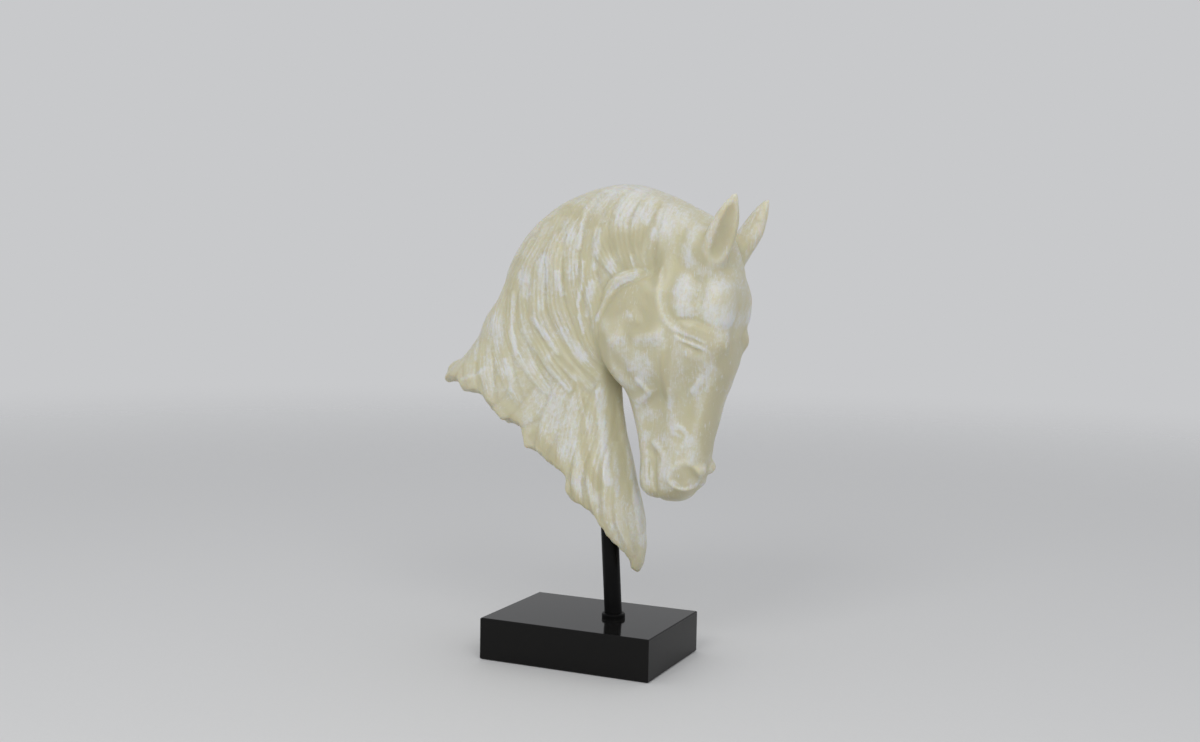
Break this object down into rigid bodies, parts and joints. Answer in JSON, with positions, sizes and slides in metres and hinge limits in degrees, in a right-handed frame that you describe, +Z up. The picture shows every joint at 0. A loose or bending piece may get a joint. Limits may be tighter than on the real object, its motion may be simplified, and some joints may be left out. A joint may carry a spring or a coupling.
{
  "type": "horse head sculpture on a stand",
  "caption": "Horse head with tucked muzzle and arched, maned neck ending in a broken edge, held by a leaning rod with a collar on a rectangular block.",
  "frame": {"origin": "middle of the block's underside, where the part stands", "axes": "+Z up, +X along the block's long side and the way the horse faces, -Y the horse's right side"},
  "size_m": [0.3021, 0.1184, 0.4324],
  "materials": {
    "cast_resin": "cast cream resin, slightly translucent, with white dry brushing on the raised parts",
    "base_gloss_black": "black gloss lacquer",
    "rod_satin_black": "satin black paint"
  },
  "bodies": {
    "root": {"base": "base_gloss_black", "collar": "rod_satin_black", "rod": "rod_satin_black", "horse_head": "cast_resin"}
  },
  "joints": []
}
